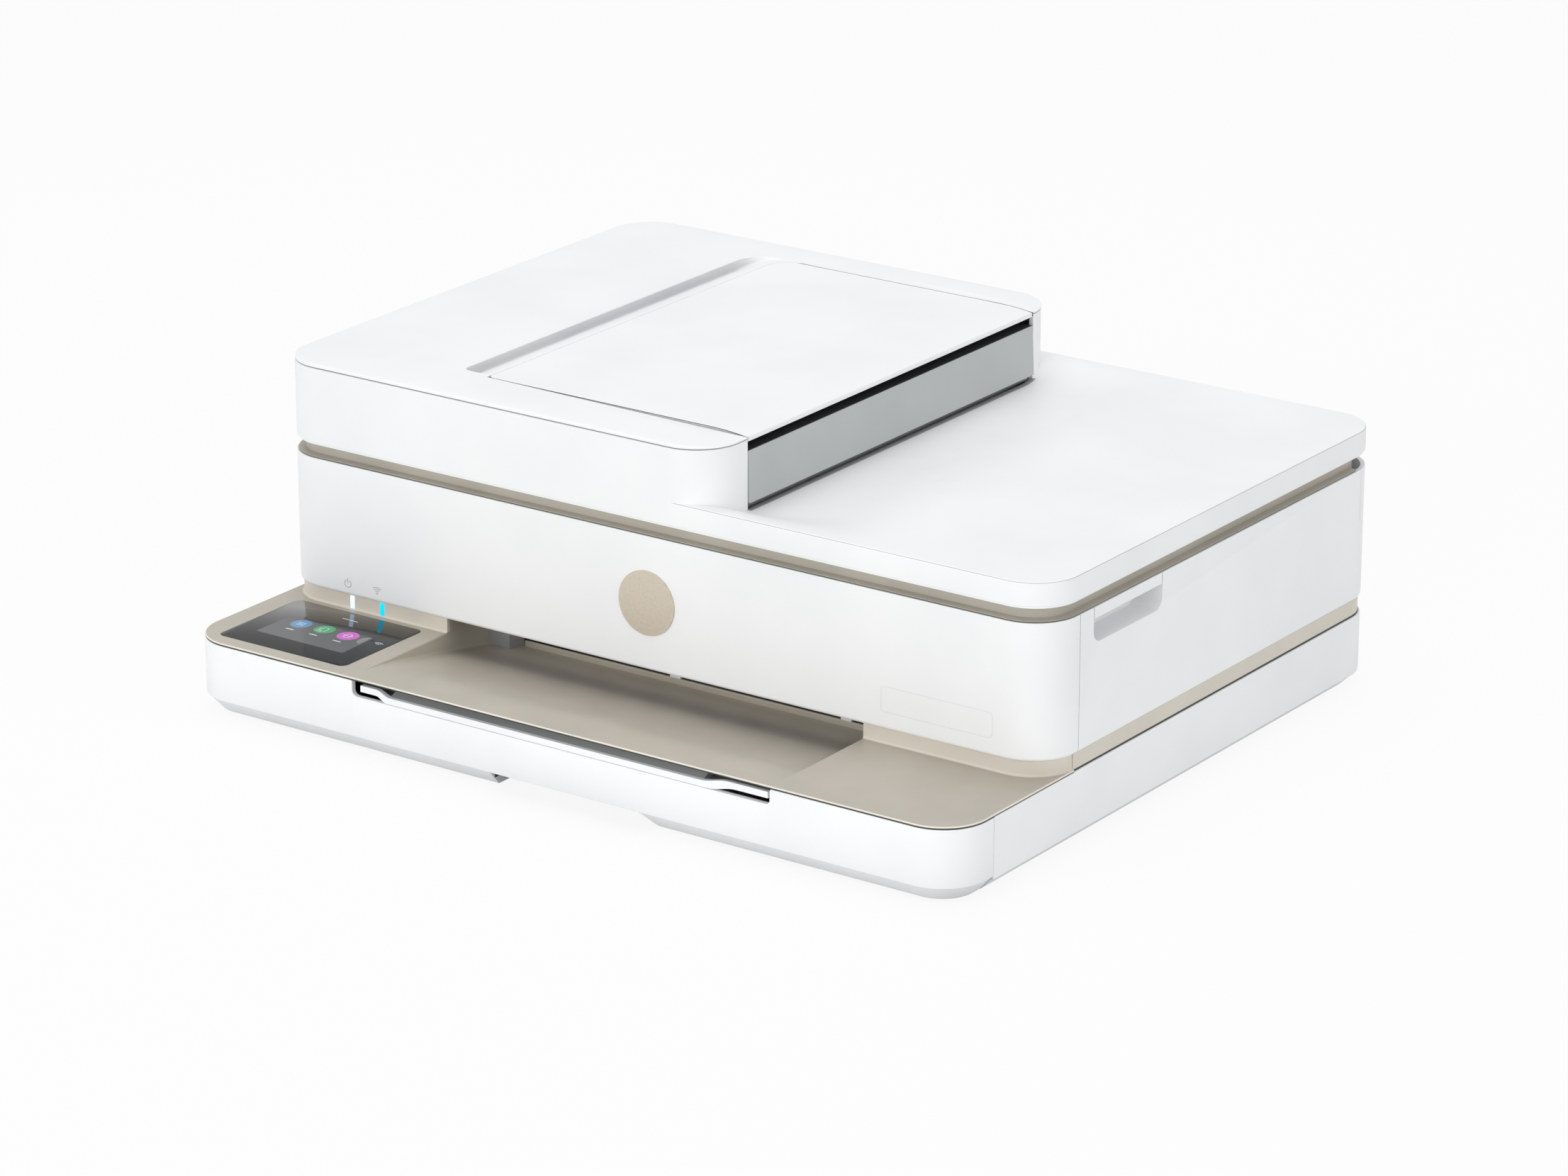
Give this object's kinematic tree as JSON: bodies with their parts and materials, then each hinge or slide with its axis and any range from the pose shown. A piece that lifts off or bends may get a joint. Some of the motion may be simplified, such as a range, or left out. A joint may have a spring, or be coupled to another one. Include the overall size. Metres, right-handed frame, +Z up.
{
  "type": "inkjet printer with flatbed scanner and document feeder",
  "caption": "White and beige all-in-one inkjet printer: lid with document feeder, lifting scanner unit, sliding paper tray, output extender and travelling ink carriage",
  "frame": {"origin": "On the table, under the middle of the printer's outline", "axes": "X along the front from left to right as a user faces it, Y from the paper tray's face to the rear, Z up"},
  "size_m": [0.432, 0.359, 0.1563],
  "materials": {
    "white_shell": "smooth, slightly glossy moulding",
    "pan_plastic": "fine satin moulding",
    "beige_deck": "fine warm grey-beige texture",
    "grey_plastic": "satin grey moulding",
    "light_grey": "satin light grey moulding",
    "dark_plastic": "fine dark moulding",
    "rubber": "matt rubber",
    "steel": "zinc plated sheet and ground rod",
    "champagne": "satin champagne metal",
    "screen_glass": "glossy black touch glass",
    "clear_glass": "polished scanner glass",
    "gear_plastic": "natural acetal",
    "brass": "turned brass",
    "blue_guide": "satin blue moulding",
    "board_green": "solder mask",
    "light_pipe": "clear frosted light guide",
    "white_foam": "soft white foam sheet"
  },
  "bodies": {
    "base": {"feet": "rubber", "base_pan": "pan_plastic", "base_shell": "white_shell", "output_deck": "beige_deck", "slot_guard": "grey_plastic", "mid_frame": "beige_deck", "front_fascia": "white_shell", "left_panel": "white_shell", "right_panel": "white_shell", "rear_panel": "white_shell", "hinge_cover": "white_shell", "badge_disc": "champagne", "display_glass": "screen_glass", "light_bars": "light_pipe", "guide_rail": "steel", "carriage_motor": "steel", "drive_belt": "rubber", "platen_frame": "dark_plastic", "feed_motor": "steel", "service_station": "grey_plastic", "power_supply": "dark_plastic", "main_board": "board_green", "power_inlet": "dark_plastic"},
    "ink_carriage": {"carriage": "dark_plastic", "black_cartridge": "dark_plastic", "colour_cartridge": "dark_plastic"},
    "drive_pulley": {"drive_pulley": "brass"},
    "idler_pulley": {"idler_pulley": "brass"},
    "feed_roller": {"feed_shaft": "steel", "feed_gear": "gear_plastic"},
    "output_roller": {"output_shaft": "steel"},
    "transfer_gear": {"transfer_gear": "gear_plastic"},
    "feed_pinion": {"feed_pinion": "brass"},
    "pinch_roller": {"pinch_rollers": "rubber"},
    "pick_arm": {"pick_arm": "grey_plastic"},
    "pick_roller": {"pick_roller": "rubber"},
    "rear_door": {"rear_door": "white_shell"},
    "power_button": {"power_button": "pan_plastic"},
    "wireless_button": {"wireless_button": "pan_plastic"},
    "tray": {"tray_front": "white_shell", "tray_corners": "white_shell", "paper_tray": "pan_plastic"},
    "left_tray_guide": {"left_tray_guide": "blue_guide"},
    "right_tray_guide": {"right_tray_guide": "blue_guide"},
    "length_guide": {"length_guide": "blue_guide"},
    "extender": {"output_extender": "white_shell"},
    "scanner_unit": {"scanner_base": "grey_plastic", "scanner_bezel": "beige_deck", "scan_glass": "clear_glass"},
    "scan_bar": {"scan_bar": "dark_plastic"},
    "lid": {"lid_shell": "white_shell", "lid_hinges": "dark_plastic", "backing_pad": "white_foam", "adf_cover": "white_shell", "adf_bed": "light_grey"},
    "adf_flap": {"adf_flap": "white_shell"},
    "front_adf_guide": {"front_adf_guide": "grey_plastic"},
    "rear_adf_guide": {"rear_adf_guide": "grey_plastic"},
    "adf_pick": {"adf_pick_shaft": "rubber"},
    "adf_feed": {"adf_feed_shaft": "rubber"}
  },
  "joints": [
    {"name": "scanner_unit_hinge", "type": "hinge", "parent": "base", "child": "scanner_unit", "pos_m": [0, 0.172, 0.1063], "axis": [-1, 0, 0], "range_deg": [0, 38]},
    {"name": "lid_hinge", "type": "hinge", "parent": "scanner_unit", "child": "lid", "pos_m": [0, 0.1769, 0.1126], "axis": [-1, 0, 0], "range_deg": [0, 80]},
    {"name": "adf_flap_hinge", "type": "hinge", "parent": "lid", "child": "adf_flap", "pos_m": [0.0302, 0, 0.1533], "axis": [0, 1, 0], "range_deg": [0, 160]},
    {"name": "front_adf_guide_slide", "type": "slide", "parent": "lid", "child": "front_adf_guide", "axis": [0, 1, 0], "range_m": [0, 0.045]},
    {"name": "rear_adf_guide_slide", "type": "slide", "parent": "lid", "child": "rear_adf_guide", "axis": [0, 1, 0], "range_m": [-0.045, 0]},
    {"name": "adf_feed_spin", "type": "hinge", "parent": "lid", "child": "adf_feed", "pos_m": [-0.17, 0, 0.1335], "axis": [0, 1, 0], "continuous": true},
    {"name": "adf_pick_spin", "type": "hinge", "parent": "lid", "child": "adf_pick", "pos_m": [-0.122, 0, 0.14037], "axis": [0, 1, 0], "continuous": true},
    {"name": "scan_bar_slide", "type": "slide", "parent": "scanner_unit", "child": "scan_bar", "axis": [1, 0, 0], "range_m": [0, 0.3]},
    {"name": "carriage_slide", "type": "slide", "parent": "base", "child": "ink_carriage", "axis": [-1, 0, 0], "range_m": [0, 0.3]},
    {"name": "drive_pulley_spin", "type": "hinge", "parent": "base", "child": "drive_pulley", "pos_m": [-0.192, 0.0035, 0.0718], "axis": [0, 1, 0], "continuous": true},
    {"name": "idler_pulley_spin", "type": "hinge", "parent": "base", "child": "idler_pulley", "pos_m": [0.192, 0.0035, 0.0718], "axis": [0, 1, 0], "continuous": true},
    {"name": "feed_roller_spin", "type": "hinge", "parent": "base", "child": "feed_roller", "pos_m": [0, -0.0168, 0.034], "axis": [1, 0, 0], "continuous": true},
    {"name": "output_roller_spin", "type": "hinge", "parent": "base", "child": "output_roller", "pos_m": [0, -0.056, 0.034], "axis": [1, 0, 0], "continuous": true},
    {"name": "transfer_gear_spin", "type": "hinge", "parent": "base", "child": "transfer_gear", "pos_m": [0, -0.04, 0.034], "axis": [1, 0, 0], "continuous": true},
    {"name": "feed_pinion_spin", "type": "hinge", "parent": "base", "child": "feed_pinion", "pos_m": [0, 0.0008, 0.034], "axis": [1, 0, 0], "continuous": true},
    {"name": "pinch_roller_spin", "type": "hinge", "parent": "base", "child": "pinch_roller", "pos_m": [0, -0.0168, 0.0438], "axis": [1, 0, 0], "continuous": true},
    {"name": "pick_arm_hinge", "type": "hinge", "parent": "base", "child": "pick_arm", "pos_m": [0, 0.062, 0.0364], "axis": [1, 0, 0], "range_deg": [0, 10]},
    {"name": "pick_roller_spin", "type": "hinge", "parent": "pick_arm", "child": "pick_roller", "pos_m": [0, 0.1, 0.0147], "axis": [1, 0, 0], "continuous": true},
    {"name": "rear_door_hinge", "type": "hinge", "parent": "base", "child": "rear_door", "pos_m": [0, 0.1762, 0.051], "axis": [-1, 0, 0], "range_deg": [0, 85]},
    {"name": "power_button_press", "type": "slide", "parent": "base", "child": "power_button", "axis": [0, -1, 0], "range_m": [0, 0.0008], "stiffness_N_per_m": 400, "springref_m": -0.0008},
    {"name": "wireless_button_press", "type": "slide", "parent": "base", "child": "wireless_button", "axis": [0, -1, 0], "range_m": [0, 0.0008], "stiffness_N_per_m": 400, "springref_m": -0.0008},
    {"name": "tray_slide", "type": "slide", "parent": "base", "child": "tray", "axis": [0, -1, 0], "range_m": [0, 0.18]},
    {"name": "left_tray_guide_slide", "type": "slide", "parent": "tray", "child": "left_tray_guide", "axis": [1, 0, 0], "range_m": [0, 0.045]},
    {"name": "right_tray_guide_slide", "type": "slide", "parent": "tray", "child": "right_tray_guide", "axis": [1, 0, 0], "range_m": [-0.045, 0]},
    {"name": "length_guide_slide", "type": "slide", "parent": "tray", "child": "length_guide", "axis": [0, 1, 0], "range_m": [0, 0.05]},
    {"name": "extender_slide", "type": "slide", "parent": "base", "child": "extender", "axis": [0, -0.9851, 0.1719], "range_m": [0, 0.056]}
  ],
  "couplings": [
    {"joint": "rear_adf_guide_slide", "follows": "front_adf_guide_slide", "ratio": -1},
    {"joint": "right_tray_guide_slide", "follows": "left_tray_guide_slide", "ratio": -1},
    {"joint": "adf_pick_spin", "follows": "adf_feed_spin", "ratio": 2.0909},
    {"joint": "drive_pulley_spin", "follows": "carriage_slide", "rad_per_m": 166.67},
    {"joint": "idler_pulley_spin", "follows": "carriage_slide", "rad_per_m": 166.67},
    {"joint": "output_roller_spin", "follows": "feed_roller_spin", "ratio": 2.125},
    {"joint": "transfer_gear_spin", "follows": "feed_roller_spin", "ratio": -1.4167},
    {"joint": "feed_pinion_spin", "follows": "feed_roller_spin", "ratio": -3.4},
    {"joint": "pinch_roller_spin", "follows": "feed_roller_spin", "ratio": -1.375},
    {"joint": "pick_roller_spin", "follows": "feed_roller_spin", "ratio": -0.6111}
  ]
}
